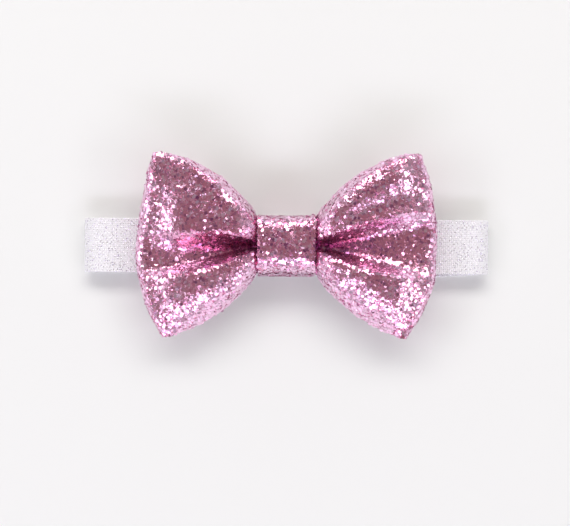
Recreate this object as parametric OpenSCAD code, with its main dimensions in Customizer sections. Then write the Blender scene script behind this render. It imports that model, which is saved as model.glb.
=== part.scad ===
// Glitter hair bow on an elastic headband, laid on its back.
// X runs along the headband, Y across it, +Z is the way the bow faces.
// The origin is the middle of the underside.

/* [Headband] */
// Length of the closed elastic loop as it lies flat
loop_len = 150; // [130:1:200]
// Width of the elastic
band_w = 20; // [14:0.5:26]
// Thickness of the elastic
band_t = 1.2; // [0.8:0.1:2]
// Gap between the two strands of the loop
loop_gap = 5.2; // [5:0.1:9]
// Length of elastic that is doubled where its two ends are joined
join_len = 12; // [8:1:20]

/* [Bow] */
// Length of the bow from fold to fold
bow_len = 110; // [90:1:130]
// Width of the glitter strip, which is the bow's height
strip_w = 67; // [50:1:80]
// Thickness of the glitter fabric
fabric_t = 0.8; // [0.5:0.1:1.2]
// How far the upper corners stand in from the middle of the side folds
upper_corner_in = 6.3; // [2:0.1:12]
// How far the lower corners stand in from the middle of the side folds
lower_corner_in = 10.2; // [2:0.1:14]
// Height of the folded ridges above the waist's underside
ridge_rise = 15; // [11:0.5:20]
// Width of the pinched waist
waist_w = 17.5; // [12:0.5:24]
// Height of the pinched waist
waist_h = 9.2; // [7:0.1:12]
// Depth of the valley between the ridges beside the knot
valley_depth = 6; // [2:0.5:8]
// Height that the side folds stand above the waist's underside
fold_rise = 5; // [4:0.5:9]
// Radius of the side folds, to the middle of the fabric
fold_r = 2.6; // [1.5:0.1:3.5]

/* [Knot] */
// Width of the knot along the headband
knot_w = 20.6; // [14:0.2:26]
// Length of the knot strip's end that laps over its start, behind the bow
knot_lap = 15; // [8:0.5:18]

/* [Thread] */
// Diameter of the binding and sewing thread
thread_d = 0.5; // [0.3:0.05:0.7]
// Turns of thread that bind the waist
thread_turns = 7; // [4:1:9]
// Length of one hand stitch
stitch_len = 2.2; // [1.5:0.1:3]

/* [Clearances] */
// Gap between the sliding bow and the face of the headband
slide_gap = 0.3; // [0.2:0.05:0.5]
// Gap between the knot and each edge of the headband
side_gap = 0.25; // [0.2:0.05:0.5]
// Gap between wrapped layers that lie on each other
snug_gap = 0.05; // [0.03:0.01:0.1]

/* [Hidden] */

glitter_pink = [0.62, 0.36, 0.43];
band_white = [0.93, 0.92, 0.96];
thread_pink = [0.85, 0.6, 0.68];

// Levels of the stack that the knot holds together, from the floor up
front_strand_z = band_t + loop_gap;
front_top_z = front_strand_z + band_t;
loop_h = front_top_z;
thread_low_z = front_top_z + slide_gap;
waist_z = thread_low_z + thread_d + snug_gap;
waist_top_z = waist_z + waist_h;
knot_in_low_z = front_strand_z - slide_gap;
knot_in_top_z = waist_top_z + 2 * snug_gap + thread_d;
waist_mid_z = waist_z + waist_h / 2;
back_low_z = waist_z + fabric_t / 2;
front_low_z = waist_top_z - fabric_t / 2;
ridge_z = waist_z + ridge_rise;
fold_z = waist_z + fold_rise;

waist_half = waist_w / 2;
waist_in = waist_half - fabric_t / 2;
bound_half = waist_half + snug_gap + thread_d + snug_gap;
knot_half_low = max(band_w / 2 + side_gap, bound_half);
waist_corner_r = min(4, waist_h * 0.45);
knot_corner_r = waist_corner_r + thread_d;
knot_half = knot_w / 2;

arc_steps = 6;
smooth = 48;

// Rounded outline in Y and Z: upright from z0 to the shoulder, then leaning in to the top
function arc_points(y, z, r, start) =
    [for (i = [0 : arc_steps]) let (a = start + 90 * i / arc_steps)
        [y + r * cos(a), z + r * sin(a)]];
function wrap_outline(low_half, top_half, z0, shoulder_z, z1, r, low_r) = concat(
    arc_points(top_half - r, z1 - r, r, 0),
    arc_points(-top_half + r, z1 - r, r, 90),
    [[-low_half, shoulder_z]],
    arc_points(-low_half + low_r, z0 + low_r, low_r, 180),
    arc_points(low_half - low_r, z0 + low_r, low_r, 270),
    [[low_half, shoulder_z]]);

// Extrudes a YZ outline along X, centred on X = 0
module along_x(length) {
    rotate([90, 0, 90])
        linear_extrude(height = length, center = true)
            children();
}

// A straight run of thread between two points
module stitch(from, to) {
    run = to - from;
    length = norm(run);
    translate(from)
        rotate([0, acos(run.z / length), atan2(run.y, run.x)])
            cylinder(h = length, d = thread_d, $fn = 16);
}

module stadium(length, height) {
    square([length - height, height], center = true);
    for (side = [-1, 1])
        translate([side * (length - height) / 2, 0])
            circle(d = height, $fn = smooth);
}

module headband_elastic() {
    color(band_white) {
        translate([0, 0, loop_h / 2])
            rotate([90, 0, 0])
                linear_extrude(height = band_w, center = true)
                    difference() {
                        stadium(loop_len, loop_h);
                        stadium(loop_len - 2 * band_t, loop_h - 2 * band_t);
                    }
        translate([-join_len / 2, -band_w / 2, band_t / 2])
            cube([join_len, band_w, band_t * 1.5]);
    }
}

// Zigzag across the doubled elastic, on its inner face
module headband_join_stitches() {
    zig = stitch_len;
    rows = floor((band_w - zig) / zig);
    y0 = -rows * zig / 2;
    color(thread_pink)
        for (side = [-1, 1], i = [0 : rows - 1]) {
            x_mid = side * join_len / 4;
            lean = (i % 2 == 0) ? 1 : -1;
            stitch([x_mid - lean * zig / 2, y0 + i * zig + thread_d / 2, 2 * band_t],
                [x_mid + lean * zig / 2, y0 + (i + 1) * zig - thread_d / 2, 2 * band_t]);
        }
}

// ---- The folded strip: one band of fabric, closed into a loop with a fold at each side ----
knot_stations = 2;
wing_stations = 10;
half_stations = knot_stations + wing_stations;
columns = 14;
fold_angles = [60, 20, -20, -60];
wing_reach = bow_len / 2 - fold_r;

// Where the wing starts to spread, just past the knot's edge, as a share of its reach
wing_start = (knot_half + side_gap) / wing_reach;
// Share of the way from there to the side fold, 0 inside the knot
function spread(v) = max(0, (v - wing_start) / (1 - wing_start));
// Share of the reach at a station: a few stand inside the knot, the others along the wing
function station_at(i) = let (a = abs(i))
    sign(i) * (a <= knot_stations ? wing_start * a / knot_stations
        : wing_start + (1 - wing_start) * (a - knot_stations) / wing_stations);
function ease(t) = t * t * (3 - 2 * t);

// Half height of the wing: half of its growth is quick, beside the knot, and the rest is gentle
quick_growth = 3.6;
gentle_growth = 1.45;
function half_height(v) = let (left = 1 - spread(v))
    strip_w / 2 - (strip_w / 2 - waist_in) * (pow(left, quick_growth) + pow(left, gentle_growth)) / 2;
function corner_in(u) = (u > 0 ? upper_corner_in : lower_corner_in) * pow(abs(u), 2.2);

// Level of the ridges, rising from the waist and falling to the side fold
function ridge_level(v) = let (s = spread(v))
    s < 0.45 ? front_low_z + (ridge_z - front_low_z) * ease(s / 0.45)
             : ridge_z + (fold_z + fold_r - ridge_z) * pow((s - 0.45) / 0.55, 1.8);
// Level of the back, flat over the headband and rising to the side fold
function back_level(v) = back_low_z + (fold_z - fold_r - back_low_z) * pow(spread(v), 3);
// Where the ridge stands, as a share of the half height
function ridge_at(v) = 0.5 - 0.22 * ease(spread(v));
// Level of the strip's long edges, and half the gap that they leave open
function edge_level(v) = waist_mid_z + (fold_z - waist_mid_z) * spread(v);
function half_open(v) = let (closed = (fabric_t + snug_gap) / 2)
    closed + (fold_r - closed) * ease(min(1, 2.5 * spread(v)));

function front_z(u, v) = let (r = ridge_at(v), top = ridge_level(v), a = abs(u))
    a < r ? top - valley_depth * pow(1 - spread(v), 1.2) * (0.5 + 0.5 * cos(180 * a / r))
          : top + (edge_level(v) + half_open(v) - top) * pow((a - r) / (1 - r), 1.6);
function back_z(u, v) =
    back_level(v) + (edge_level(v) - half_open(v) - back_level(v)) * pow(abs(u), 2.5);

// A station is [share of the wing, angle round the fold]: 90 is the front, -90 the back
strip_path = concat(
    [for (i = [-half_stations : half_stations]) [station_at(i), 90]],
    [for (a = fold_angles) [1, a]],
    [for (i = [half_stations : -1 : -half_stations]) [station_at(i), -90]],
    [for (i = [len(fold_angles) - 1 : -1 : 0]) [-1, fold_angles[i]]]);

function strip_point(station, k) =
    let (v = abs(station[0]), side = sign(station[0]), a = station[1],
        u = -1 + 2 * k / (columns - 1),
        high = front_z(u, v), low = back_z(u, v))
    [side * (v * wing_reach - corner_in(u) * pow(v, 4) + fold_r * cos(a)),
     u * half_height(v),
     (high + low) / 2 + sin(a) * (high - low) / 2];

// Outward direction of the strip's surface at one of its points
function strip_normal(mid, i, k) =
    let (n = len(mid), last = columns - 1,
        along = mid[(i + 1) % n][k] - mid[(i + n - 1) % n][k],
        across = mid[i][min(k + 1, last)] - mid[i][max(k - 1, 0)],
        normal = cross(along, across))
    normal / norm(normal);

module bow_strip() {
    mid = [for (station = strip_path) [for (k = [0 : columns - 1]) strip_point(station, k)]];
    n = len(mid);
    layer = n * columns;
    points = [for (face = [1, -1], i = [0 : n - 1], k = [0 : columns - 1])
        mid[i][k] + face * fabric_t / 2 * strip_normal(mid, i, k)];
    outer = [for (i = [0 : n - 1], k = [0 : columns - 2])
        let (a = i * columns + k, b = (i + 1) % n * columns + k)
        [[a, a + 1, b + 1], [a, b + 1, b]]];
    inner = [for (pair = outer, f = pair) [f[0] + layer, f[2] + layer, f[1] + layer]];
    rims = [for (k = [0, columns - 1], i = [0 : n - 1])
        let (a = i * columns + k, b = (i + 1) % n * columns + k)
        k == 0 ? [[a, b, b + layer], [a, b + layer, a + layer]]
               : [[a, b + layer, b], [a, a + layer, b + layer]]];
    color(glitter_pink)
        polyhedron(points = points, convexity = 8,
            faces = concat([for (pair = outer, f = pair) f], inner, [for (pair = rims, f = pair) f]));
}

// Two rows of running stitches that hold the strip's lapped ends, behind the waist
module bow_end_stitches() {
    per_row = 3;
    pitch = stitch_len * 1.4;
    color(thread_pink)
        for (side = [-1, 1], i = [0 : per_row - 1]) {
            y_mid = (i - (per_row - 1) / 2) * pitch;
            stitch([side * knot_half * 0.7, y_mid - stitch_len / 2, waist_z],
                [side * knot_half * 0.7, y_mid + stitch_len / 2, waist_z]);
        }
}

// The waist's rounded section, grown by a margin
module waist_outline(margin) {
    half = waist_half + margin;
    r = waist_corner_r + margin;
    polygon(wrap_outline(half, half, waist_z - margin, waist_mid_z, waist_top_z + margin, r, r));
}

// Turns of thread drawn tight round the pinched waist
module waist_binding_thread() {
    pitch = thread_d * 1.2;
    color(thread_pink)
        for (i = [0 : thread_turns - 1])
            translate([(i - (thread_turns - 1) / 2) * pitch, 0, 0])
                along_x(thread_d)
                    difference() {
                        waist_outline(snug_gap + thread_d);
                        waist_outline(snug_gap);
                    }
}

// Strip wrapped round the waist and the front strand, its end lapped behind them
module knot_wrap() {
    lap_y = knot_half_low + fabric_t - knot_lap;
    low_r = fabric_t;
    color(glitter_pink)
        along_x(knot_w) {
            difference() {
                polygon(wrap_outline(knot_half_low + fabric_t, bound_half + fabric_t,
                    knot_in_low_z - fabric_t, thread_low_z, knot_in_top_z + fabric_t,
                    knot_corner_r + fabric_t, low_r));
                polygon(wrap_outline(knot_half_low, bound_half,
                    knot_in_low_z, thread_low_z, knot_in_top_z, knot_corner_r, low_r / 4));
            }
            translate([lap_y, knot_in_low_z - 2 * fabric_t])
                square([knot_lap, fabric_t * 1.5]);
        }
}

// Running stitches along the lapped end of the knot strip
module knot_back_stitches() {
    count = floor((knot_w - 2) / (stitch_len * 1.4));
    pitch = stitch_len * 1.4;
    y = knot_half_low + fabric_t - knot_lap + 1.5;
    z = knot_in_low_z - 2 * fabric_t;
    color(thread_pink)
        for (i = [0 : count - 1]) {
            x_mid = (i - (count - 1) / 2) * pitch;
            stitch([x_mid - stitch_len / 2, y, z], [x_mid + stitch_len / 2, y, z]);
        }
}

headband_elastic();
headband_join_stitches();
bow_strip();
bow_end_stitches();
waist_binding_thread();
knot_wrap();
knot_back_stitches();
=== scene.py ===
# Builds the finished look of a glitter hair bow on an elastic headband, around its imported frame.
import math

import bpy
import numpy as np
from mathutils import Matrix, Vector, noise


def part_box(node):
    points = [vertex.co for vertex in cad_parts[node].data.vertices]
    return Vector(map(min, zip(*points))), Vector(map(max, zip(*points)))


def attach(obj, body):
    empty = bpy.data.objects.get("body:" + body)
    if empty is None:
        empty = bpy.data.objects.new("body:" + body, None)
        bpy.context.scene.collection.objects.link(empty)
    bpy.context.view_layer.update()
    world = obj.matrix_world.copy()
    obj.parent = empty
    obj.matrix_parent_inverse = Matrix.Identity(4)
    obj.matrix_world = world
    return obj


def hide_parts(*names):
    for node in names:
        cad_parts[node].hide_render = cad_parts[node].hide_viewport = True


bl_info = {
    "name": "Glitter Hair Bow",
    "version": (1, 0, 0),
    "blender": (4, 5, 0),
    "location": "View3D > Sidebar > Hair Bow",
    "description": "Builds a pinched glitter bow on an elastic headband",
    "category": "Add Mesh",
}

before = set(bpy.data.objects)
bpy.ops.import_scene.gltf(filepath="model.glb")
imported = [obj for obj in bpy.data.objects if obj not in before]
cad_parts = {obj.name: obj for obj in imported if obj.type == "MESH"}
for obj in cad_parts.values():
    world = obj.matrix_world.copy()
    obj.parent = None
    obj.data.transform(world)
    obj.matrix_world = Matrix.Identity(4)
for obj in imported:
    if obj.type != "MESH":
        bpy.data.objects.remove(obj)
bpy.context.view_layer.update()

MM = 0.001
STRIP_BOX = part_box("bow_strip")
BAND_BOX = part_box("headband_elastic")
KNOT_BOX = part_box("knot_wrap")
WAIST_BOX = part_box("waist_binding_thread")

# Levels and half sizes of the frame's parts, in millimetres
BOW_HALF = STRIP_BOX[1][0] / MM
STRIP_HALF = STRIP_BOX[1][1] / MM
KNOT_HALF = KNOT_BOX[1][0] / MM
BAND_HALF = BAND_BOX[1][0] / MM
BAND_TOP = BAND_BOX[1][2] / MM
BACK_LEVEL = STRIP_BOX[0][2] / MM


# ---------------------------------------------------------------- settings

class HairBowSizes(bpy.types.PropertyGroup):
    """Sizes that a maker would change"""

    fabric_thickness: bpy.props.FloatProperty(
        name="Fabric thickness", description="Thickness of the glitter fabric",
        default=0.8 * MM, unit="LENGTH")
    elastic_thickness: bpy.props.FloatProperty(
        name="Elastic thickness", description="Thickness of the headband's elastic",
        default=1.2 * MM, unit="LENGTH")
    thread_width: bpy.props.FloatProperty(
        name="Thread width", description="Diameter of the binding and sewing thread",
        default=0.5 * MM, unit="LENGTH")
    flake_radius: bpy.props.FloatProperty(
        name="Flake radius", description="Radius of the largest glitter flakes",
        default=0.68 * MM, unit="LENGTH")
    wing_flakes: bpy.props.IntProperty(
        name="Flakes on a wing", description="Glitter flakes on the front of one wing",
        default=16000)
    back_flakes: bpy.props.IntProperty(
        name="Flakes on the back", description="Glitter flakes on the back of one wing",
        default=9000)
    knot_flakes: bpy.props.IntProperty(
        name="Flakes on the knot", description="Glitter flakes on the knot strip",
        default=5000)
    camera_height: bpy.props.FloatProperty(
        name="Camera height", description="Height of the camera above the floor",
        default=0.62, unit="LENGTH")


class HairBowColours(bpy.types.PropertyGroup):
    """Colours that a maker would change"""

    flake_rose: bpy.props.FloatVectorProperty(
        name="Flake rose", description="Main colour of the glitter flakes",
        subtype="COLOR", size=3, min=0, max=1, default=(0.84, 0.285, 0.465))
    flake_pale: bpy.props.FloatVectorProperty(
        name="Flake pale pink", description="Lightest colour of the glitter flakes",
        subtype="COLOR", size=3, min=0, max=1, default=(0.93, 0.55, 0.75))
    # The deepest flake colour is both the flakes' own darker tone and the painted shade given to flakes down in
    # the middle fold.
    flake_deep_and_fold_shade: bpy.props.FloatVectorProperty(
        name="Flake magenta", description="Deepest colour of the glitter flakes",
        subtype="COLOR", size=3, min=0, max=1, default=(0.34, 0.08, 0.27))
    flake_lilac: bpy.props.FloatVectorProperty(
        name="Flake lilac", description="Colour of the few cool flakes",
        subtype="COLOR", size=3, min=0, max=1, default=(0.84, 0.55, 0.88))
    flake_edge: bpy.props.FloatVectorProperty(
        name="Flake edge", description="Colour that a flake turns to when seen from its side",
        subtype="COLOR", size=3, min=0, max=1, default=(0.96, 0.67, 0.87))
    resin: bpy.props.FloatVectorProperty(
        name="Resin", description="Colour of the resin under the flakes",
        subtype="COLOR", size=3, min=0, max=1, default=(0.90, 0.55, 0.72))
    backing: bpy.props.FloatVectorProperty(
        name="Backing", description="Colour of the woven backing of the glitter fabric",
        subtype="COLOR", size=3, min=0, max=1, default=(0.86, 0.60, 0.66))
    elastic: bpy.props.FloatVectorProperty(
        name="Elastic", description="Colour of the headband's elastic",
        subtype="COLOR", size=3, min=0, max=1, default=(0.93, 0.93, 0.95))
    thread: bpy.props.FloatVectorProperty(
        name="Thread", description="Colour of the thread",
        subtype="COLOR", size=3, min=0, max=1, default=(0.78, 0.42, 0.52))
    floor: bpy.props.FloatVectorProperty(
        name="Floor", description="Colour of the plain floor",
        subtype="COLOR", size=3, min=0, max=1, default=(0.85, 0.87, 0.845))


def sizes():
    return bpy.context.scene.hair_bow_sizes


def colours():
    return bpy.context.scene.hair_bow_colours


# ---------------------------------------------------------------- modelling helpers

def deselect_all():
    bpy.ops.object.select_all(action="DESELECT")


def make_active(obj):
    deselect_all()
    obj.select_set(True)
    bpy.context.view_layer.objects.active = obj


def apply_modifier(obj, kind, **settings):
    """Adds one modifier, sets it up and applies it."""
    make_active(obj)
    modifier = obj.modifiers.new(kind.title(), kind)
    for name, value in settings.items():
        setattr(modifier, name, value)
    bpy.ops.object.modifier_apply(modifier=modifier.name)


def laid_out_grid(name, along, across):
    """A flat grid of cloth, which is then folded into shape. X runs along it and Y across it."""
    deselect_all()
    bpy.ops.mesh.primitive_grid_add(x_subdivisions=along, y_subdivisions=across, size=2)
    obj = bpy.context.active_object
    obj.name = name
    obj.data.name = name
    return obj


def shape_grid(obj, place):
    """Moves each grid point to place(along, across), both from 0 to 1, given in millimetres."""
    for vertex in obj.data.vertices:
        along = (vertex.co.x + 1) / 2
        across = (vertex.co.y + 1) / 2
        vertex.co = Vector(place(along, across)) * MM
    obj.data.update()


def crease_line(obj, across, firmness):
    """Holds one lengthwise line of a flat grid firm when the grid is smoothed. Y is from -1 to 1."""
    mesh = obj.data
    name = "crease_edge"
    creases = mesh.attributes.get(name) or mesh.attributes.new(name, "FLOAT", "EDGE")
    place = 2 * across - 1
    for edge in mesh.edges:
        if all(abs(mesh.vertices[i].co.y - place) < 1e-4 for i in edge.vertices):
            creases.data[edge.index].value = firmness


def smooth_faces(obj):
    make_active(obj)
    bpy.ops.object.shade_smooth()


def ease(t):
    t = min(1.0, max(0.0, t))
    return t * t * (3 - 2 * t)


def between(stops, values, t):
    """Value at t of a line that runs level through each of its stops."""
    for i in range(len(stops) - 1):
        if t <= stops[i + 1]:
            share = (t - stops[i]) / (stops[i + 1] - stops[i])
            return values[i] + (values[i + 1] - values[i]) * ease(share)
    return values[-1]


def along_polyline(points, share):
    """Point at a share of the way through a list of points, counted by index."""
    place = share * (len(points) - 1)
    i = min(int(place), len(points) - 2)
    rest = place - i
    return [a + (b - a) * rest for a, b in zip(points[i], points[i + 1])]


# ---------------------------------------------------------------- material helpers

def new_material(name):
    material = bpy.data.materials.new(name)
    material.use_nodes = True
    return material, material.node_tree, material.node_tree.nodes["Principled BSDF"]


def add_node(tree, kind, **inputs):
    """Adds a node; keyword names are sockets, with underscores for spaces."""
    node = tree.nodes.new(kind)
    for name, value in inputs.items():
        node.inputs[name.replace("_", " ")].default_value = value
    return node


def math_node(tree, operation, first, second):
    node = tree.nodes.new("ShaderNodeMath")
    node.operation = operation
    for socket, value in zip(node.inputs, (first, second)):
        if isinstance(value, (int, float)):
            socket.default_value = value
        else:
            tree.links.new(value, socket)
    return node.outputs[0]


def mix_colours(tree, share, first, second):
    node = tree.nodes.new("ShaderNodeMix")
    node.data_type = "RGBA"
    for socket, value in zip((node.inputs[0], node.inputs[6], node.inputs[7]), (share, first, second)):
        if isinstance(value, (int, float)):
            socket.default_value = value
        elif isinstance(value, bpy.types.NodeSocket):
            tree.links.new(value, socket)
        else:
            socket.default_value = (*value[:3], 1)
    return node.outputs[2]


def new_group(name, inputs, outputs):
    """A shader node group with named sockets. Each input is (name, kind, default)."""
    group = bpy.data.node_groups.new(name, "ShaderNodeTree")
    for label, kind, default in inputs:
        socket = group.interface.new_socket(label, in_out="INPUT", socket_type=kind)
        if default is not None:
            socket.default_value = default
    for label, kind in outputs:
        group.interface.new_socket(label, in_out="OUTPUT", socket_type=kind)
    return group, group.nodes.new("NodeGroupInput"), group.nodes.new("NodeGroupOutput")


def glitter_group():
    """Flat flakes laid in a coating: each cell of the pattern leans its own way and has its own tint."""
    name = "Glitter Flakes"
    if name in bpy.data.node_groups:
        return bpy.data.node_groups[name]
    group, entry, exit_node = new_group(
        name,
        [("Flakes per metre", "NodeSocketFloat", 900.0), ("Lean", "NodeSocketFloat", 0.3),
         ("Sparkle share", "NodeSocketFloat", 0.1)],
        [("Normal", "NodeSocketVector"), ("Tint", "NodeSocketFloat"), ("Sparkle", "NodeSocketFloat")])
    links = group.links
    place = group.nodes.new("ShaderNodeTexCoord")
    cells = group.nodes.new("ShaderNodeTexVoronoi")
    links.new(place.outputs["Object"], cells.inputs["Vector"])
    links.new(entry.outputs["Flakes per metre"], cells.inputs["Scale"])
    centred = group.nodes.new("ShaderNodeVectorMath")
    centred.operation = "SUBTRACT"
    centred.inputs[1].default_value = (0.5, 0.5, 0.5)
    links.new(cells.outputs["Color"], centred.inputs[0])
    leaned = group.nodes.new("ShaderNodeVectorMath")
    leaned.operation = "SCALE"
    links.new(centred.outputs[0], leaned.inputs[0])
    links.new(entry.outputs["Lean"], leaned.inputs["Scale"])
    surface = group.nodes.new("ShaderNodeNewGeometry")
    summed = group.nodes.new("ShaderNodeVectorMath")
    summed.operation = "ADD"
    links.new(surface.outputs["Normal"], summed.inputs[0])
    links.new(leaned.outputs[0], summed.inputs[1])
    unit = group.nodes.new("ShaderNodeVectorMath")
    unit.operation = "NORMALIZE"
    links.new(summed.outputs[0], unit.inputs[0])
    parts = group.nodes.new("ShaderNodeSeparateColor")
    links.new(cells.outputs["Color"], parts.inputs[0])
    sparkle = math_node(group, "LESS_THAN", parts.outputs[2], entry.outputs["Sparkle share"])
    links.new(unit.outputs[0], exit_node.inputs["Normal"])
    links.new(parts.outputs[1], exit_node.inputs["Tint"])
    links.new(sparkle, exit_node.inputs["Sparkle"])
    return group


def weave_group():
    """Over-and-under weave of two sets of yarns, on the piece's own UV map."""
    name = "Plain Weave"
    if name in bpy.data.node_groups:
        return bpy.data.node_groups[name]
    group, entry, exit_node = new_group(
        name,
        [("Yarns along", "NodeSocketFloat", 200.0), ("Yarns across", "NodeSocketFloat", 60.0)],
        [("Height", "NodeSocketFloat"), ("Shade", "NodeSocketFloat")])
    links = group.links
    place = group.nodes.new("ShaderNodeUVMap")
    parts = group.nodes.new("ShaderNodeSeparateXYZ")
    links.new(place.outputs[0], parts.inputs[0])
    turn = math.tau / 2
    along = math_node(group, "MULTIPLY", parts.outputs[0], entry.outputs["Yarns along"])
    across = math_node(group, "MULTIPLY", parts.outputs[1], entry.outputs["Yarns across"])
    warp = math_node(group, "SINE", math_node(group, "MULTIPLY", along, turn), 0.0)
    weft = math_node(group, "SINE", math_node(group, "MULTIPLY", across, turn), 0.0)
    crossing = math_node(group, "MULTIPLY", warp, weft)
    height = math_node(group, "ABSOLUTE", crossing, 0.0)
    links.new(height, exit_node.inputs["Height"])
    shade = math_node(group, "MULTIPLY_ADD", crossing, 0.5)
    shade.node.inputs[2].default_value = 0.5
    links.new(shade, exit_node.inputs["Shade"])
    return group


def use_group(tree, group, **inputs):
    node = tree.nodes.new("ShaderNodeGroup")
    node.node_tree = group
    for name, value in inputs.items():
        node.inputs[name.replace("_", " ")].default_value = value
    return node


def flake_ramp(tree, tint):
    """Colour of a flake from its tint: mostly rose, with some pale, deep and lilac ones."""
    ramp = tree.nodes.new("ShaderNodeValToRGB")
    ramp.color_ramp.interpolation = "LINEAR"
    # The deep stop at 0.0 also gives the painted shade of flakes in the middle fold, whose tint is pushed
    # towards it.
    shades = [(0.0, colours().flake_deep_and_fold_shade), (0.32, colours().flake_rose), (0.66, colours().flake_rose),
              (0.9, colours().flake_pale), (1.0, colours().flake_lilac)]
    while len(ramp.color_ramp.elements) < len(shades):
        ramp.color_ramp.elements.new(0.5)
    for element, (place, colour) in zip(ramp.color_ramp.elements, shades):
        element.position = place
        element.color = (*colour, 1)
    tree.links.new(tint, ramp.inputs[0])
    return ramp.outputs[0]


def glitter_ground_material():
    """The resin coat full of small flakes that lies under the larger loose ones."""
    material, tree, shader = new_material("Rose Glitter Coat")
    flakes = use_group(tree, glitter_group(), Flakes_per_metre=2200.0, Lean=0.3, Sparkle_share=0.1)
    tree.links.new(flake_ramp(tree, flakes.outputs["Tint"]), shader.inputs["Base Color"])
    tree.links.new(flakes.outputs["Normal"], shader.inputs["Normal"])
    shader.inputs["Metallic"].default_value = 0.9
    shader.inputs["Roughness"].default_value = 0.34
    return material


def free_of_fold_shade(tree):
    """One on open cloth, falling to nothing on flakes that carry the painted shade of the middle fold, so they
    don't turn to the edge colour.
    """
    # The fold attribute is each flake's share of the painted shade in the middle fold.
    fold = tree.nodes.new("ShaderNodeAttribute")
    fold.attribute_name = "fold"
    return math_node(tree, "SUBTRACT", 1.0, fold.outputs["Fac"])


def flake_material():
    """A loose flake: metal-coated film in clear resin, with its own tint and polish."""
    material, tree, shader = new_material("Rose Flake")
    own = tree.nodes.new("ShaderNodeAttribute")
    own.attribute_name = "tint"
    grazing = tree.nodes.new("ShaderNodeLayerWeight")
    grazing.inputs["Blend"].default_value = 0.93
    edge_share = math_node(tree, "MULTIPLY", grazing.outputs["Facing"], 0.9)
    # Flakes that carry the fold's painted shade don't turn to the edge colour, so they stay dark.
    edge_share = math_node(tree, "MULTIPLY", edge_share, free_of_fold_shade(tree))
    tinted = mix_colours(tree, edge_share, flake_ramp(tree, own.outputs["Fac"]), colours().flake_edge)
    tree.links.new(tinted, shader.inputs["Base Color"])
    polish = tree.nodes.new("ShaderNodeMapRange")
    polish.inputs["To Min"].default_value = 0.10
    polish.inputs["To Max"].default_value = 0.24
    own_polish = tree.nodes.new("ShaderNodeAttribute")
    own_polish.attribute_name = "polish"
    tree.links.new(own_polish.outputs["Fac"], polish.inputs["Value"])
    tree.links.new(polish.outputs[0], shader.inputs["Roughness"])
    shader.inputs["Metallic"].default_value = 0.95
    shader.inputs["Coat Weight"].default_value = 0.35
    shader.inputs["Coat Roughness"].default_value = 0.12
    return material


def resin_material():
    """Cloudy pink resin that holds the flakes, seen on their undersides."""
    material, tree, shader = new_material("Pink Resin")
    shader.inputs["Base Color"].default_value = (*colours().resin, 1)
    shader.inputs["Roughness"].default_value = 0.45
    return material


def backing_material():
    """Woven backing on the inner face of the glitter fabric."""
    material, tree, shader = new_material("Pink Backing Cloth")
    weave = use_group(tree, weave_group(), Yarns_along=420.0, Yarns_across=120.0)
    colour = colours().backing
    dark = [c * 0.72 for c in colour]
    tree.links.new(mix_colours(tree, weave.outputs["Shade"], dark, colour), shader.inputs["Base Color"])
    bump = tree.nodes.new("ShaderNodeBump")
    bump.inputs["Distance"].default_value = 0.12 * MM
    bump.inputs["Strength"].default_value = 0.8
    tree.links.new(weave.outputs["Height"], bump.inputs["Height"])
    tree.links.new(bump.outputs[0], shader.inputs["Normal"])
    shader.inputs["Roughness"].default_value = 0.82
    shader.inputs["Sheen Weight"].default_value = 0.25
    return material


def elastic_material():
    """White elastic with lengthwise ribs and a fine sparkle yarn."""
    material, tree, shader = new_material("White Sparkle Elastic")
    weave = use_group(tree, weave_group(), Yarns_along=520.0, Yarns_across=26.0)
    flakes = use_group(tree, glitter_group(), Flakes_per_metre=2600.0, Lean=0.9, Sparkle_share=0.16)
    colour = colours().elastic
    dark = [c * 0.86 for c in colour]
    cloth = mix_colours(tree, weave.outputs["Shade"], dark, colour)
    sparkle = flakes.outputs["Sparkle"]
    tint = mix_colours(tree, flakes.outputs["Tint"], (0.78, 0.72, 0.95), (0.98, 0.96, 0.94))
    tree.links.new(mix_colours(tree, sparkle, cloth, tint), shader.inputs["Base Color"])
    tree.links.new(math_node(tree, "MULTIPLY", sparkle, 0.85), shader.inputs["Metallic"])
    rough = math_node(tree, "MULTIPLY_ADD", sparkle, -0.45)
    rough.node.inputs[2].default_value = 0.72
    tree.links.new(rough, shader.inputs["Roughness"])
    bump = tree.nodes.new("ShaderNodeBump")
    bump.inputs["Distance"].default_value = 0.15 * MM
    bump.inputs["Strength"].default_value = 0.6
    tree.links.new(weave.outputs["Height"], bump.inputs["Height"])
    tree.links.new(bump.outputs[0], shader.inputs["Normal"])
    shader.inputs["Sheen Weight"].default_value = 0.2
    return material


def thread_material():
    """Twisted thread: slanting plies along the run."""
    material, tree, shader = new_material("Pink Sewing Thread")
    place = tree.nodes.new("ShaderNodeTexCoord")
    plies = tree.nodes.new("ShaderNodeTexWave")
    plies.bands_direction = "DIAGONAL"
    plies.inputs["Scale"].default_value = 900.0
    tree.links.new(place.outputs["Object"], plies.inputs["Vector"])
    colour = colours().thread
    dark = [c * 0.6 for c in colour]
    tree.links.new(mix_colours(tree, plies.outputs["Fac"], dark, colour), shader.inputs["Base Color"])
    bump = tree.nodes.new("ShaderNodeBump")
    bump.inputs["Distance"].default_value = 0.08 * MM
    tree.links.new(plies.outputs["Fac"], bump.inputs["Height"])
    tree.links.new(bump.outputs[0], shader.inputs["Normal"])
    shader.inputs["Roughness"].default_value = 0.5
    shader.inputs["Sheen Weight"].default_value = 0.3
    return material


def floor_material():
    material, tree, shader = new_material("Plain Floor")
    shader.inputs["Base Color"].default_value = (*colours().floor, 1)
    shader.inputs["Roughness"].default_value = 0.9
    return material


def the_material(make):
    """The material that a function makes, made once."""
    key = "made_by_" + make.__name__
    for material in bpy.data.materials:
        if material.get(key):
            return material
    material = make()
    material[key] = True
    return material


# ---------------------------------------------------------------- the bow strip

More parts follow.
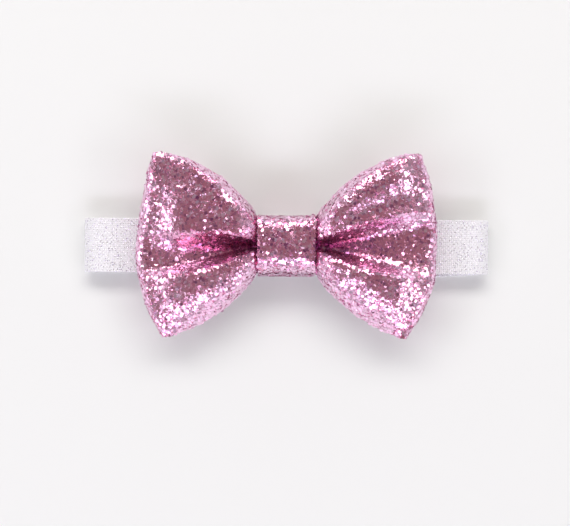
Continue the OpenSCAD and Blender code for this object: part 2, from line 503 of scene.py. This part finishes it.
# Fold lines of the pinched strip, from the lower edge to the upper one. Each line has its share of
# the half height at the knot and at the side fold, then the front layer's levels and the back
# layer's levels above the waist's underside, in millimetres, at the wing's stops.
WING_STOPS = (0.0, 0.16, 0.5, 0.8, 1.0)
LEFT_WING = [
    # share near, far,  front levels,                 back levels
    (-1.00, -1.00, (4.6, 5.0, 5.0, 5.2, 6.0), (2.6, 2.2, 2.0, 2.4, 3.2)),
    (-0.84, -0.92, (7.2, 8.4, 8.0, 7.6, 6.9), (3.4, 2.8, 1.6, 1.6, 2.8)),
    (-0.58, -0.64, (8.5, 12.2, 13.2, 12.4, 9.0), (5.6, 4.2, 1.2, 0.8, 2.4)),
    (-0.22, -0.36, (8.4, 12.8, 13.8, 13.0, 9.6), (5.8, 3.6, 1.0, 0.7, 2.0)),
    (-0.12, -0.27, (2.2, 1.6, 4.4, 7.6, 7.2), (2.0, 1.2, 0.9, 0.7, 2.0)),
    (0.04, -0.02, (2.2, 2.0, 5.8, 8.8, 7.8), (1.7, 1.1, 0.9, 0.7, 2.0)),
    (0.20, 0.17, (8.4, 13.4, 14.4, 13.4, 10.0), (5.8, 3.6, 1.0, 0.7, 2.0)),
    (0.44, 0.42, (8.9, 14.1, 14.8, 14.2, 10.6), (6.0, 4.4, 1.2, 0.7, 3.0)),
    (0.60, 0.72, (8.9, 14.0, 14.6, 14.2, 12.2), (5.6, 4.2, 1.4, 1.6, 7.5)),
    (0.74, 0.96, (8.3, 12.6, 14.0, 13.8, 12.2), (4.0, 3.2, 2.0, 3.4, 9.4)),
    (1.00, 1.00, (4.8, 7.2, 9.8, 12.6, 11.8), (2.6, 1.6, 2.2, 5.0, 9.8))]
RIGHT_WING = [
    (-1.00, -1.00, (4.6, 5.0, 4.8, 5.2, 6.8), (2.6, 2.2, 2.0, 2.6, 4.2)),
    (-0.84, -0.92, (7.2, 8.2, 7.8, 7.8, 7.6), (3.4, 2.8, 1.6, 1.6, 3.4)),
    (-0.58, -0.64, (8.5, 12.2, 13.2, 12.8, 9.6), (5.6, 4.2, 1.2, 0.8, 2.4)),
    (-0.22, -0.37, (8.4, 12.6, 13.8, 13.6, 10.2), (5.8, 3.6, 1.0, 0.7, 2.0)),
    (-0.12, -0.26, (2.2, 1.8, 5.6, 8.6, 8.0), (2.0, 1.2, 0.9, 0.7, 2.0)),
    (0.04, 0.24, (2.2, 1.6, 5.0, 6.9, 7.2), (1.7, 1.1, 0.9, 0.7, 2.0)),
    (0.22, 0.37, (8.4, 12.6, 13.4, 13.0, 10.6), (5.8, 3.6, 1.0, 0.7, 2.0)),
    (0.44, 0.50, (8.8, 13.4, 13.0, 12.1, 10.2), (6.0, 4.4, 1.2, 0.7, 2.4)),
    (0.60, 0.72, (8.9, 14.2, 15.9, 15.6, 12.2), (5.6, 4.2, 1.4, 1.2, 6.0)),
    (0.74, 0.96, (8.3, 12.6, 14.8, 14.8, 11.6), (4.0, 3.2, 2.0, 2.4, 7.6)),
    (1.00, 1.00, (4.8, 7.2, 10.4, 12.6, 11.0), (2.6, 1.6, 2.2, 3.8, 8.2))]
CREASED_LINES = [(3, 0.5), (4, 0.3), (5, 0.2), (6, 0.6), (9, 0.45)]
WAIST_HALF = 9.8
# The binding draws the waist in by this share about this level, and lets go beyond the knot's edge
WAIST_SQUEEZE = 0.16
WAIST_LEVEL = (WAIST_BOX[0][2] + WAIST_BOX[1][2]) / 2 / MM
SQUEEZE_HALF = 9.8
SQUEEZE_RUN = 2.5
# How far the strip's corners draw in towards the knot, and how soon along the side fold
CORNERS_IN = {("left", "upper"): (6.8, 1.4), ("left", "lower"): (9.9, 2.15),
              ("right", "upper"): (6.6, 2.2), ("right", "lower"): (11.3, 2.4)}
LAP_HALF = 9.0
LAP_STEP = 0.85


def half_height(t):
    """Half height of a wing at a share t of the way from the knot to the side fold."""
    growth = 1 - 0.5 * ((1 - t) ** 3.6 + (1 - t) ** 1.45)
    return WAIST_HALF + (STRIP_HALF - 0.3 - WAIST_HALF) * growth


def corner_in(side, share):
    inset, power = CORNERS_IN["left" if side < 0 else "right", "upper" if share > 0 else "lower"]
    return inset * abs(share) ** power


def strip_stations():
    """Stops along the strip, from its lapped outer end round both wings to its inner end.

    Each is (side, x inside the knot or None, share of the wing, turn round the fold, lap level)."""
    knot_stops = [0.0, 5.0, KNOT_HALF + 0.2]
    wing_stops = [0.07, 0.17, 0.3, 0.45, 0.62, 0.8, 0.92, 1.0]
    turns = [55, 18, -18, -55]
    out = [(1, LAP_HALF, 0.0, -90, -1), (1, 4.0, 0.0, -90, -1)]
    for side in (-1, 1):
        wing = [(side, None, t) for t in wing_stops]
        if side < 0:
            out += [(side, x, 0.0, -90, 0) for x in knot_stops]
            out += [(*stop, -90, 0) for stop in wing]
            out += [(side, None, 1.0, turn, 0) for turn in reversed(turns)]
            out += [(*stop, 90, 0) for stop in reversed(wing)]
            out += [(side, x, 0.0, 90, 0) for x in reversed(knot_stops)]
        else:
            out += [(side, x, 0.0, 90, 0) for x in knot_stops[1:]]
            out += [(*stop, 90, 0) for stop in wing]
            out += [(side, None, 1.0, turn, 0) for turn in turns]
            out += [(*stop, -90, 0) for stop in reversed(wing)]
            out += [(side, KNOT_HALF + 0.2, 0.0, -90, 0.3), (side, 5.0, 0.0, -90, 1)]
    out += [(-1, 0.0, 0.0, -90, 1), (-1, LAP_HALF, 0.0, -90, 1)]
    return out


def strip_point(station, line):
    """Point of the strip's cage at a station and a fold line, in millimetres."""
    side, knot_x, t, turn, lap = station
    near_share, far_share, front_levels, back_levels = (LEFT_WING if side < 0 else RIGHT_WING)[line]
    share = near_share + (far_share - near_share) * ease(t ** 0.7)
    front = between(WING_STOPS, front_levels, t)
    back = between(WING_STOPS, back_levels, t)
    level = (front + back) / 2 + (front - back) / 2 * math.sin(math.radians(turn))
    half = half_height(t)
    if knot_x is None:
        fold = (front - back) / 2
        reach = BOW_HALF - 0.4 - fold - KNOT_HALF
        x = KNOT_HALF + t * reach - corner_in(side, share) * t ** 3
        x += fold * math.cos(math.radians(turn))
    else:
        x = knot_x
        half -= 0.9 * ease((KNOT_HALF - x) / 5.0)
        level += LAP_STEP * max(0, lap)
    y = share * half + 0.4 * (1 - t) ** 3
    if knot_x is None and abs(share) < 0.95:
        wander = noise.noise_vector(Vector((x * 0.16, line * 1.7, 4.0 * side)))
        y += wander.y * 0.9 * ease(t / 0.3)
        level += wander.z * 0.7 * ease(t / 0.3) * max(0.0, math.sin(math.radians(turn)))
    return side * x, y, BACK_LEVEL + level


def pleat(point):
    """Small pleats that fan out from the knot and die away, and the cloth's slight unevenness."""
    x, y, z = point / MM
    out = max(0.0, abs(x) - KNOT_HALF)
    fan = math.atan2(y, out + 7.0)
    side = 3.0 if x > 0 else 0.0
    fold = noise.noise(Vector((fan * 7.0, out * 0.03, side)))
    uneven = noise.noise(Vector((x * 0.11, y * 0.11, 7.0 + side)))
    uneven += 0.45 * noise.noise(Vector((x * 0.24, y * 0.24, 11.0 + side)))
    strength = ease(out / 4.0)
    return (fold * 0.6 * math.exp(-out / 20.0) + uneven * 0.42) * strength


def push_along_normals(obj, amount):
    """Moves each point along its normal by amount(point), in millimetres."""
    mesh = obj.data
    moves = [vertex.normal * amount(vertex.co) * MM for vertex in mesh.vertices]
    for vertex, move in zip(mesh.vertices, moves):
        vertex.co += move
    mesh.update()


def squeeze_waist(strip):
    """Draws the cloth in towards the middle of the waist, where the thread and the knot bind it."""
    middle = Vector((0, 0, WAIST_LEVEL * MM))
    for vertex in strip.data.vertices:
        free = ease((abs(vertex.co.x) / MM - SQUEEZE_HALF) / SQUEEZE_RUN)
        share = WAIST_SQUEEZE * (1 - free)
        vertex.co.yz += (middle - vertex.co).yz * share
    strip.data.update()


def make_bow_strip():
    stations = strip_stations()
    rows = len(LEFT_WING)
    strip = laid_out_grid("bow_glitter_strip", len(stations) - 1, rows - 1)
    for line, firmness in CREASED_LINES:
        crease_line(strip, line / (rows - 1), firmness)
    shape_grid(strip, lambda along, across: strip_point(
        stations[round(along * (len(stations) - 1))], round(across * (rows - 1))))
    apply_modifier(strip, "SUBSURF", levels=3, render_levels=3)
    push_along_normals(strip, pleat)
    squeeze_waist(strip)
    strip.data.materials.append(the_material(glitter_ground_material))
    strip.data.materials.append(the_material(backing_material))
    apply_modifier(strip, "SOLIDIFY", thickness=sizes().fabric_thickness, offset=0,
                   material_offset=1, material_offset_rim=1, use_even_offset=True)
    smooth_faces(strip)
    return strip


# ---------------------------------------------------------------- glitter flakes

LARGE_SHARE = 0.2
SMALL_SIZE = 0.45
# Half width and run of the painted shade in the deep middle fold beside the knot, in millimetres
FOLD_SHADE_SPREAD = 5.0
FOLD_SHADE_RUN = 34.0

def flake_pattern():
    """One flake as points and faces: a flat hexagon whose underside runs to a point in the coat."""
    deselect_all()
    bpy.ops.mesh.primitive_cone_add(vertices=6, radius1=0, radius2=1, depth=1, location=(0, 0, -0.5))
    cone = bpy.context.active_object
    points = np.array([vertex.co[:] for vertex in cone.data.vertices]) + np.array([0, 0, -0.5])
    faces = [list(face.vertices) for face in cone.data.polygons]
    bpy.data.objects.remove(cone)
    return points, faces


def surface_samples(host, count, rng, chosen, slots=(0,)):
    """Random places on the chosen faces of a piece, spread by area, with their normals."""
    mesh = host.data
    mesh.calc_loop_triangles()
    corners = np.empty(len(mesh.loop_triangles) * 3, np.int32)
    mesh.loop_triangles.foreach_get("vertices", corners)
    corners = corners.reshape(-1, 3)
    slot = np.empty(len(mesh.loop_triangles), np.int32)
    mesh.loop_triangles.foreach_get("material_index", slot)
    points = np.empty(len(mesh.vertices) * 3)
    mesh.vertices.foreach_get("co", points)
    points = points.reshape(-1, 3)
    a, b, c = (points[corners[:, i]] for i in range(3))
    normal = np.cross(b - a, c - a)
    area = np.linalg.norm(normal, axis=1) / 2
    centre = (a + b + c) / 3
    keep = np.isin(slot, slots) & chosen(centre) & (area > 0)
    a, b, c, normal, area = a[keep], b[keep], c[keep], normal[keep], area[keep]
    pick = rng.choice(len(area), size=count, p=area / area.sum())
    r = np.sqrt(rng.random(count))[:, None]
    s = rng.random(count)[:, None]
    place = (1 - r) * a[pick] + r * (1 - s) * b[pick] + r * s * c[pick]
    normal = normal[pick] / np.linalg.norm(normal[pick], axis=1)[:, None]
    return place, normal


def painted_fold_shade(place):
    """Share of painted shade for each place, by how far down in the middle fold of its wing it lies: one at the
    knot, nothing outside.
    """
    across = place[:, 1] / (FOLD_SHADE_SPREAD * MM)
    along = (np.abs(place[:, 0]) / MM - WAIST_HALF) / FOLD_SHADE_RUN
    return np.exp(-across ** 2) * np.exp(-np.maximum(along, 0) ** 4) * (along > 0)


def scatter_flakes(name, host, count, seed, chosen):
    """Glitter flakes strewn over the chosen side of a piece: many small ones, then large ones on top."""
    rng = np.random.default_rng(seed)
    place, normal = surface_samples(host, count, rng, chosen)
    large = np.arange(count) > count * (1 - LARGE_SHARE)
    loose = rng.random(count) < 0.11
    lean = np.where(loose, 0.34, 0.075)[:, None] * np.clip(rng.normal(size=(count, 3)), -1.8, 1.8)
    up = normal + lean
    up /= np.linalg.norm(up, axis=1)[:, None]
    spare = np.where(np.abs(up[:, :1]) < 0.8, [[1.0, 0, 0]], [[0, 1.0, 0]])
    right = np.cross(spare, up)
    right /= np.linalg.norm(right, axis=1)[:, None]
    ahead = np.cross(up, right)
    turn = rng.random(count)[:, None] * math.tau
    east = right * np.cos(turn) + ahead * np.sin(turn)
    north = np.cross(up, east)
    radius = sizes().flake_radius * np.where(large, 1.0, SMALL_SIZE) * rng.uniform(0.82, 1.1, count)
    lift = np.where(large, 0.15, 0.07) * MM + rng.uniform(-0.04, 0.05, count) * MM
    points, faces = flake_pattern()
    depth = 0.09 * MM
    corners = (place[:, None, :] + normal[:, None, :] * lift[:, None, None]
               + east[:, None, :] * points[None, :, :1] * radius[:, None, None]
               + north[:, None, :] * points[None, :, 1:2] * radius[:, None, None]
               + up[:, None, :] * points[None, :, 2:] * depth)
    obj = joined_copies(name, corners, faces)
    # Painted shade: flakes down in the middle fold beside the knot have their tint pushed towards the deepest
    # colour, and the fold attribute carries that share to the flake material.
    fold = painted_fold_shade(place)
    tint = rng.random(count) * (1 - 0.9 * fold)
    for label, values in (("tint", tint), ("polish", rng.random(count)), ("fold", fold)):
        values = np.repeat(values, len(points)).astype(np.float32)
        obj.data.attributes.new(label, "FLOAT", "POINT").data.foreach_set("value", values)
    obj.data.materials.append(the_material(flake_material))
    obj.data.materials.append(the_material(resin_material))
    slots = np.tile([0 if len(face) > 3 else 1 for face in faces], count)
    obj.data.polygons.foreach_set("material_index", slots.astype(np.int32))
    return obj


def joined_copies(name, corners, faces):
    """One piece made of copies that share their faces' pattern; corners is copies x points x 3."""
    count, points = corners.shape[:2]
    face_corners = np.concatenate(faces)
    mesh = bpy.data.meshes.new(name)
    mesh.vertices.add(count * points)
    mesh.vertices.foreach_set("co", corners.reshape(-1))
    mesh.loops.add(count * len(face_corners))
    indices = (np.arange(count) * points)[:, None] + face_corners[None, :]
    mesh.loops.foreach_set("vertex_index", indices.reshape(-1).astype(np.int32))
    mesh.polygons.add(count * len(faces))
    firsts = np.cumsum([0, *(len(face) for face in faces[:-1])])
    starts = (np.arange(count) * len(face_corners))[:, None] + firsts[None, :]
    mesh.polygons.foreach_set("loop_start", starts.reshape(-1).astype(np.int32))
    mesh.update(calc_edges=True)
    mesh.shade_flat()
    mesh.validate()
    obj = bpy.data.objects.new(name, mesh)
    bpy.context.collection.objects.link(obj)
    return obj


# ---------------------------------------------------------------- the knot

def knot_path():
    """Outline of the knot strip in Y and Z, from its lapped end round to its start, in millimetres."""
    low = KNOT_BOX[0][2] / MM + 0.4
    inner = low + 0.85
    half = KNOT_BOX[1][1] / MM - 0.4
    top = KNOT_BOX[1][2] / MM - 0.4
    return [
        (-3.9, low), (1.0, low), (6.0, low), (half - 0.9, low), (half, low + 0.8), (half, BAND_TOP + 0.3),
        (half - 0.2, 11.5), (half - 0.3, 15.2), (half - 1.6, 17.9), (half - 4.5, top), (0.6, top + 0.35),
        (-4.6, top - 0.1), (-7.6, top - 1.4), (-9.4, 15.0), (-10.2, 11.5), (-half, BAND_TOP + 0.3),
        (-half, inner + 0.5), (-half + 0.2, inner - 0.4), (-half + 1.3, inner - 0.5), (-6.6, inner - 0.3),
        (-4.0, inner), (3.0, inner), (half - 1.4, inner)]


def column_place(across):
    """Sets the knot strip's columns closer together towards its two edges."""
    return 0.5 + 0.5 * math.sin((across - 0.5) * math.pi)


def knot_point(outline, along, across):
    """The wings spread the strip's edges outwards, so it is narrowest in its middle."""
    y, z = along_polyline(outline, along)
    x = (2 * across - 1) * KNOT_HALF
    flare = abs(x / KNOT_HALF) ** 2.5
    middle = 11.5
    curl = ease((abs(x) - KNOT_HALF + 1.3) / 1.3) ** 2
    free = ease((z - BAND_TOP) / 4.0)
    y += free * (0.5 * flare - 0.3) * (1 if y > 0 else -1) + free * 0.35
    z += free * max(0.0, (z - middle) / 8.0) * (0.25 * flare - 0.35 * curl)
    return x, y, z


def knot_crumple(point):
    x, y, z = point / MM
    crease = noise.noise(Vector((x * 0.28, y * 0.05, z * 0.05 + 4.0)))
    uneven = noise.noise(Vector((x * 0.2, y * 0.2, z * 0.2 + 9.0)))
    return (crease * 0.35 + uneven * 0.2) * ease((z - BAND_TOP) / 4.0)


def make_knot_strip():
    outline = knot_path()
    columns = len(outline) - 1
    strip = laid_out_grid("knot_glitter_strip", columns, 12)
    shape_grid(strip, lambda along, across: knot_point(outline, along, column_place(across)))
    apply_modifier(strip, "SUBSURF", levels=3, render_levels=3)
    push_along_normals(strip, knot_crumple)
    strip.data.materials.append(the_material(glitter_ground_material))
    strip.data.materials.append(the_material(backing_material))
    apply_modifier(strip, "SOLIDIFY", thickness=sizes().fabric_thickness, offset=0,
                   material_offset=1, material_offset_rim=0, use_even_offset=True)
    smooth_faces(strip)
    return strip


def clear_of_band(place):
    """The knot's places where a flake can't reach the elastic: not on edges or layers beside it."""
    x, y, z = np.abs(place.T) / MM
    edge_beside_band = (x > KNOT_HALF - 0.4) & (z < BAND_TOP + 0.9)
    between_layers = (y < 10.0) & (z > 5.2) & (z < BAND_TOP)
    return ~(edge_beside_band | between_layers)


# ---------------------------------------------------------------- the headband

def band_path():
    """Middle line of the elastic in X and Z, from its lower lapped end round the loop, in millimetres."""
    thick = sizes().elastic_thickness / MM
    low = thick / 2
    high = BAND_TOP - thick / 2
    middle = (low + high) / 2
    bend = (high - low) / 2
    end = BAND_HALF - thick / 2 - bend
    lap = 6.0
    turns = [-65, -40, -15, 15, 40, 65]
    out = [(lap, low), (0, low), (-lap, low)]
    out += [(-lap - (end - lap) * i / 8, low) for i in range(1, 9)]
    out += [(-end - bend * math.cos(math.radians(a)), middle + bend * math.sin(math.radians(a))) for a in turns]
    out += [(-end + 2 * end * i / 20, high) for i in range(21)]
    out += [(end + bend * math.cos(math.radians(a)), middle - bend * math.sin(math.radians(a))) for a in turns]
    out += [(end - (end - lap - 3) * i / 8, low) for i in range(8)]
    out += [(lap + 3, low + 0.1), (lap, low + thick), (0, low + thick), (-lap, low + thick)]
    return out


def band_point(outline, along, across):
    x, z = along_polyline(outline, along)
    half = BAND_BOX[1][1] / MM
    y = (2 * across - 1) * half
    behind = ease((BAND_TOP * 0.5 - z) / 2.0)
    y -= behind * 1.7 * math.exp(-((x - 44) / 17.0) ** 2)
    return x, y, z


def band_unevenness(point):
    x, y, z = point / MM
    wave = noise.noise(Vector((x * 0.06, y * 0.03, z * 0.1)))
    return wave * 0.18


def make_headband():
    outline = band_path()
    band = laid_out_grid("elastic_headband_strip", len(outline) - 1, 12)
    shape_grid(band, lambda along, across: band_point(outline, along, across))
    apply_modifier(band, "SUBSURF", levels=2, render_levels=2)
    push_along_normals(band, band_unevenness)
    band.data.materials.append(the_material(elastic_material))
    apply_modifier(band, "SOLIDIFY", thickness=sizes().elastic_thickness, offset=0, use_even_offset=True)
    apply_modifier(band, "BEVEL", width=0.22 * MM, segments=2, limit_method="ANGLE", angle_limit=1.0)
    smooth_faces(band)
    return band


# ---------------------------------------------------------------- thread

def thread_run(name, runs, cyclic=False):
    """Thread that follows each list of points, given in millimetres."""
    curve = bpy.data.curves.new(name, "CURVE")
    curve.dimensions = "3D"
    curve.bevel_depth = sizes().thread_width / 2
    curve.bevel_resolution = 2
    curve.use_fill_caps = True
    for points in runs:
        spline = curve.splines.new("POLY")
        spline.points.add(len(points) - 1)
        for target, point in zip(spline.points, points):
            target.co = (*(Vector(point) * MM), 1)
        spline.use_cyclic_u = cyclic
    obj = bpy.data.objects.new(name, curve)
    bpy.context.collection.objects.link(obj)
    make_active(obj)
    bpy.ops.object.convert(target="MESH")
    obj.data.materials.append(the_material(thread_material))
    smooth_faces(obj)
    return obj


def waist_loop(angle, half_y, half_z, middle_z):
    """Rounded outline round the waist, as a superellipse."""
    c, s = math.cos(angle), math.sin(angle)
    power = 2 / 3.4
    y = half_y * math.copysign(abs(c) ** power, c)
    z = middle_z + half_z * math.copysign(abs(s) ** power, s)
    return y, z


# Share of the room under the knot that the tight thread takes up
THREAD_TIGHT = 0.9


def make_binding_thread():
    """Seven turns drawn tight round the pinched waist."""
    low, high = WAIST_BOX
    radius = sizes().thread_width / 2 / MM
    turns, steps = 7, 36
    half_y = THREAD_TIGHT * (high[1] / MM - radius)
    half_z = THREAD_TIGHT * ((high[2] - low[2]) / 2 / MM - radius)
    first, last = low[0] / MM + radius, high[0] / MM - radius
    points = []
    for i in range(turns * steps + 1):
        y, z = waist_loop(math.tau * i / steps, half_y, half_z, WAIST_LEVEL)
        points.append((first + (last - first) * i / (turns * steps), y, z))
    return thread_run("waist_thread_turns", [points])


def bowed_stitch(start, end, up):
    """One stitch: it comes out of the cloth, lies along it and dives back."""
    start, end, up = Vector(start), Vector(end), Vector(up)
    rise = (-0.45, 0.05, 0.2, 0.2, 0.05, -0.45)
    return [start.lerp(end, i / 5) + up * lift for i, lift in enumerate(rise)]


def make_join_stitches():
    """Zigzag through the elastic's lapped ends, seen on the loop's inner face."""
    low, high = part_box("headband_join_stitches")
    level = (low[2] + high[2]) / 2 / MM
    span = (high[1] - low[1]) / MM - 0.5
    count = 14
    runs = []
    for middle in (-3.0, 3.0):
        for i in range(count):
            lean = 1.1 if i % 2 == 0 else -1.1
            y = -span / 2 + span * i / count
            start = (middle - lean, y, level)
            end = (middle + lean, y + span / count, level)
            runs.append(bowed_stitch(start, end, (0, 0, 1)))
    return thread_run("headband_zigzag_stitches", runs)


def make_row_stitches(name, node, along_x, up):
    """Running stitches where the frame has them."""
    low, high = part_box(node)
    level = (low[2] + high[2]) / 2 / MM
    runs = []
    if along_x:
        count, length = 6, 2.2
        y = (low[1] + high[1]) / 2 / MM
        span = (high[0] - low[0]) / MM
        for i in range(count):
            x = low[0] / MM + (span - length) * i / (count - 1)
            runs.append(bowed_stitch((x, y, level), (x + length, y, level), (0, 0, up)))
    else:
        count, length = 3, 2.2
        span = (high[1] - low[1]) / MM
        for x in (low[0] / MM + 0.25, high[0] / MM - 0.25):
            for i in range(count):
                y = low[1] / MM + (span - length) * i / (count - 1)
                runs.append(bowed_stitch((x, y, level), (x, y + length, level), (0, 0, up)))
    return thread_run(name, runs)


# ---------------------------------------------------------------- operators

def put_on(piece, body, slot, *nodes):
    """A piece rides on its body and stands for its nodes. Its slot is not used."""
    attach(piece, body)
    if nodes:
        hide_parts(*nodes)


class HAIRBOW_OT_headband(bpy.types.Operator):
    """Make the elastic headband and the zigzag that joins its ends"""

    bl_idname = "hair_bow.headband"
    bl_label = "Headband"

    def execute(self, context):
        band = make_headband()
        put_on(band, "headband", "glitter_elastic", "headband_elastic")
        stitches = make_join_stitches()
        put_on(stitches, "headband", "sewing_thread", "headband_join_stitches")
        return {"FINISHED"}


class HAIRBOW_OT_bow_strip(bpy.types.Operator):
    """Fold the bow's strip of glitter fabric and strew its flakes"""

    bl_idname = "hair_bow.bow_strip"
    bl_label = "Bow strip"

    def execute(self, context):
        strip = make_bow_strip()
        put_on(strip, "bow", "glitter_fabric", "bow_strip")
        front, back = sizes().wing_flakes, sizes().back_flakes
        split = BACK_LEVEL * MM + 5.2 * MM
        flakes = [
            scatter_flakes("left_wing_flakes", strip, front, 11,
                           lambda p: (p[:, 0] < 0) & (p[:, 2] > split)),
            scatter_flakes("right_wing_flakes", strip, front, 12,
                           lambda p: (p[:, 0] >= 0) & (p[:, 2] > split)),
            scatter_flakes("left_back_flakes", strip, back, 13,
                           lambda p: (p[:, 0] < 0) & (p[:, 2] <= split)),
            scatter_flakes("right_back_flakes", strip, back, 14,
                           lambda p: (p[:, 0] >= 0) & (p[:, 2] <= split))]
        for piece in flakes:
            put_on(piece, "bow", "glitter_fabric")
        return {"FINISHED"}


class HAIRBOW_OT_knot(bpy.types.Operator):
    """Wrap the knot strip round the waist and the headband"""

    bl_idname = "hair_bow.knot"
    bl_label = "Knot"

    def execute(self, context):
        strip = make_knot_strip()
        put_on(strip, "bow", "glitter_fabric", "knot_wrap")
        flakes = scatter_flakes("knot_flakes", strip, sizes().knot_flakes, 15, clear_of_band)
        put_on(flakes, "bow", "glitter_fabric")
        return {"FINISHED"}


class HAIRBOW_OT_thread(bpy.types.Operator):
    """Bind the waist and sew the lapped ends"""

    bl_idname = "hair_bow.thread"
    bl_label = "Thread"

    def execute(self, context):
        put_on(make_binding_thread(), "bow", "sewing_thread", "waist_binding_thread")
        ends = make_row_stitches("bow_end_running_stitches", "bow_end_stitches", False, -1)
        put_on(ends, "bow", "sewing_thread", "bow_end_stitches")
        back = make_row_stitches("knot_back_running_stitches", "knot_back_stitches", True, -1)
        put_on(back, "bow", "sewing_thread", "knot_back_stitches")
        return {"FINISHED"}


def area_light(name, azimuth, elevation, distance, size, brightness, colour):
    """A soft light that faces the bow. Its brightness is what a mirror would show of it."""
    light = bpy.data.lights.new(name, "AREA")
    light.shape = "RECTANGLE"
    light.size, light.size_y = size
    light.energy = brightness * math.pi * size[0] * size[1]
    light.color = colour
    turn, rise = math.radians(azimuth), math.radians(elevation)
    place = Vector((math.cos(turn) * math.cos(rise), math.sin(turn) * math.cos(rise), math.sin(rise)))
    obj = bpy.data.objects.new(name, light)
    obj.location = place * distance
    obj.rotation_euler = (-place).to_track_quat("-Z", "Y").to_euler()
    bpy.context.collection.objects.link(obj)


def studio_world():
    """Pale surroundings: bright along the horizon, dim overhead."""
    world = bpy.data.worlds.new("studio")
    world.use_nodes = True
    tree = world.node_tree
    place = tree.nodes.new("ShaderNodeTexCoord")
    parts = tree.nodes.new("ShaderNodeSeparateXYZ")
    tree.links.new(place.outputs["Generated"], parts.inputs[0])
    falls = []
    for limits in ((0.5, 0.88, 0.40, 0.30), (0.14, 0.34, 1.0, 0.0)):
        fall = tree.nodes.new("ShaderNodeMapRange")
        fall.interpolation_type = "SMOOTHSTEP"
        for name, value in zip(("From Min", "From Max", "To Min", "To Max"), limits):
            fall.inputs[name].default_value = value
        tree.links.new(parts.outputs[2], fall.inputs["Value"])
        falls.append(fall.outputs[0])
    background = tree.nodes["Background"]
    sky = mix_colours(tree, parts.outputs[2], (0.95, 0.90, 1.0), (1.0, 0.96, 0.84))
    tree.links.new(sky, background.inputs["Color"])
    tree.links.new(math_node(tree, "ADD", *falls), background.inputs["Strength"])
    return world


class HAIRBOW_OT_stage(bpy.types.Operator):
    """Lay the floor and set the lights and the camera"""

    bl_idname = "hair_bow.stage"
    bl_label = "Stage"

    def execute(self, context):
        deselect_all()
        bpy.ops.mesh.primitive_plane_add(size=6, location=(0, 0, 0))
        floor = context.active_object
        floor.name = "floor"
        floor.data.materials.append(the_material(floor_material))

        area_light("window_light", 90, 47, 1.5, (2.2, 0.48), 4.6, (1.0, 0.96, 0.96))
        area_light("cool_fill", -92, 41, 1.4, (1.9, 0.30), 4.2, (0.86, 0.83, 1.0))
        area_light("left_fill", 184, 38, 1.4, (0.8, 0.30), 4.2, (0.93, 0.90, 1.0))
        area_light("right_fill", -20, 38, 1.4, (0.6, 0.30), 4.0, (0.95, 0.92, 1.0))
        context.scene.world = studio_world()
        context.scene.view_settings.view_transform = "Standard"

        lens = bpy.data.cameras.new("camera")
        camera = bpy.data.objects.new("camera", lens)
        bpy.context.collection.objects.link(camera)
        height = sizes().camera_height
        bow_plane = 0.016
        view_width = 0.2073
        lens.sensor_width = 36
        lens.lens = lens.sensor_width * (height - bow_plane) / view_width
        camera.location = (-0.0005, -0.0062, height)
        camera.rotation_euler = (0, 0, math.radians(0.4))
        context.scene.camera = camera
        return {"FINISHED"}


class HAIRBOW_PT_panel(bpy.types.Panel):
    """Lists the pieces of the hair bow"""

    bl_label = "Hair Bow"
    bl_idname = "HAIRBOW_PT_panel"
    bl_space_type = "VIEW_3D"
    bl_region_type = "UI"
    bl_category = "Hair Bow"

    def draw(self, context):
        for group in (context.scene.hair_bow_sizes, context.scene.hair_bow_colours):
            box = self.layout.box()
            for name in group.bl_rna.properties.keys():
                if name not in ("rna_type", "name"):
                    box.prop(group, name)
        for operator in OPERATORS:
            self.layout.operator(operator.bl_idname)


OPERATORS = (HAIRBOW_OT_headband, HAIRBOW_OT_thread, HAIRBOW_OT_bow_strip, HAIRBOW_OT_knot,
             HAIRBOW_OT_stage)
CLASSES = (HairBowSizes, HairBowColours, *OPERATORS, HAIRBOW_PT_panel)


def register():
    for item in CLASSES:
        bpy.utils.register_class(item)
    bpy.types.Scene.hair_bow_sizes = bpy.props.PointerProperty(type=HairBowSizes)
    bpy.types.Scene.hair_bow_colours = bpy.props.PointerProperty(type=HairBowColours)


def unregister():
    del bpy.types.Scene.hair_bow_colours
    del bpy.types.Scene.hair_bow_sizes
    for item in reversed(CLASSES):
        bpy.utils.unregister_class(item)


def main():
    register()
    bpy.ops.hair_bow.stage()
    bpy.ops.hair_bow.headband()
    bpy.ops.hair_bow.thread()
    bpy.ops.hair_bow.bow_strip()
    bpy.ops.hair_bow.knot()


if __name__ == "__main__":
    main()
